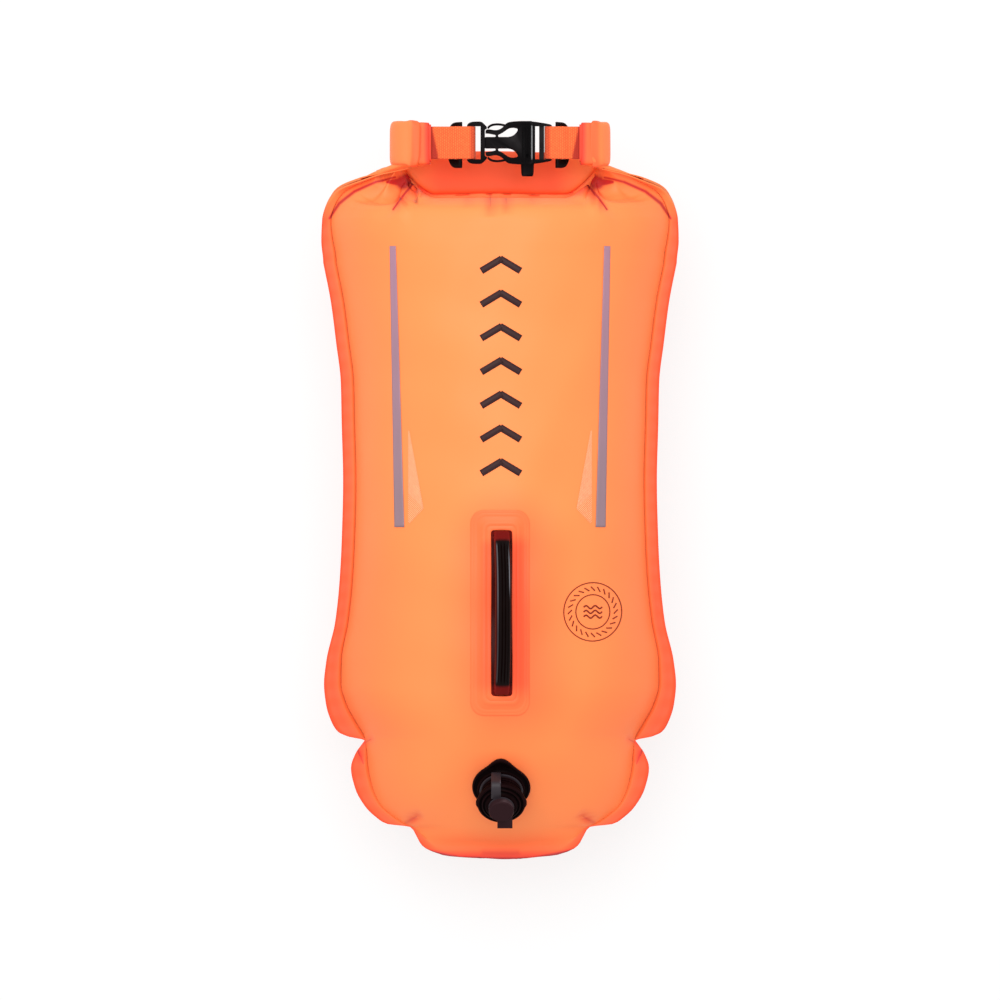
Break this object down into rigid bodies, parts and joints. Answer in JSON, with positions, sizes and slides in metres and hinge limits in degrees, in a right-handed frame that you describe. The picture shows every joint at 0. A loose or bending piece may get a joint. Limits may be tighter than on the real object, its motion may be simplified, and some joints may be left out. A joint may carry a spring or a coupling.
{
  "type": "open water swim buoy",
  "caption": "Inflated dry bag float with a rolled mouth held by a strap and side-release buckle, a carrying handle, an air valve and reflective strips, lying on its back.",
  "frame": {"origin": "on the ground under the middle of the bag's outline", "axes": "+Z out of the front face, away from the ground; +Y from the lower seam towards the rolled mouth; +X to the right of the bag seen from the front"},
  "size_m": [0.2746, 0.5624, 0.1776],
  "materials": {
    "coated_fabric": "coated satin",
    "liner_fabric": "coated satin",
    "stiffener_plastic": "matt",
    "webbing": "woven",
    "black_plastic": "satin",
    "gloss_rubber": "gloss",
    "valve_rubber": "satin",
    "reflective_film": "satin"
  },
  "bodies": {
    "bag": {"front_panel": "coated_fabric", "rear_panel": "coated_fabric", "inner_panel": "liner_fabric", "rolled_mouth": "coated_fabric", "mouth_stiffener": "stiffener_plastic", "strap_right": "webbing", "buckle_socket": "black_plastic", "handle_patch": "coated_fabric", "grab_handle": "gloss_rubber", "valve_flange": "black_plastic", "valve_seal": "valve_rubber", "valve_flap": "valve_rubber", "reflective_strip_left": "reflective_film", "reflective_strip_right": "reflective_film"},
    "left_closure": {"buckle_plug": "black_plastic", "strap_left": "webbing"},
    "prong_upper": {"buckle_prong_upper": "black_plastic"},
    "prong_lower": {"buckle_prong_lower": "black_plastic"},
    "ring_left": {"d_ring_left": "black_plastic"},
    "ring_right": {"d_ring_right": "black_plastic"},
    "valve_top": {"valve_body": "black_plastic", "valve_tether": "gloss_rubber"},
    "cap": {"valve_cap": "black_plastic"}
  },
  "joints": [
    {"name": "plug_release", "type": "slide", "parent": "bag", "child": "left_closure", "axis": [-1, 0, 0], "range_m": [0, 0.008], "deforming": ["strap_left", "buckle_prong_upper", "buckle_prong_lower"]},
    {"name": "prong_upper_squeeze", "type": "hinge", "parent": "left_closure", "child": "prong_upper", "pos_m": [-0.00993, 0.27535, 0.12415], "axis": [0, 0, -1], "range_deg": [0, 7], "stiffness_Nm_per_rad": 0.5},
    {"name": "prong_lower_squeeze", "type": "hinge", "parent": "left_closure", "child": "prong_lower", "pos_m": [-0.00993, 0.25265, 0.12415], "axis": [0, 0, 1], "range_deg": [0, 7], "stiffness_Nm_per_rad": 0.5},
    {"name": "left_ring_swing", "type": "hinge", "parent": "left_closure", "child": "ring_left", "pos_m": [-0.0305, 0.2623, 0.12415], "axis": [0, -1, 0], "range_deg": [-18, 55]},
    {"name": "right_ring_swing", "type": "hinge", "parent": "bag", "child": "ring_right", "pos_m": [0.044, 0.2623, 0.12415], "axis": [0, 1, 0], "range_deg": [-18, 55]},
    {"name": "valve_turn", "type": "hinge", "parent": "bag", "child": "valve_top", "pos_m": [0.001, -0.22777, 0.12658], "axis": [0, -0.5988, 0.8009], "range_deg": [0, 90]},
    {"name": "cap_pull", "type": "slide", "parent": "valve_top", "child": "cap", "axis": [0, -0.5988, 0.8009], "range_m": [0, 0.006], "deforming": ["valve_tether"]}
  ]
}
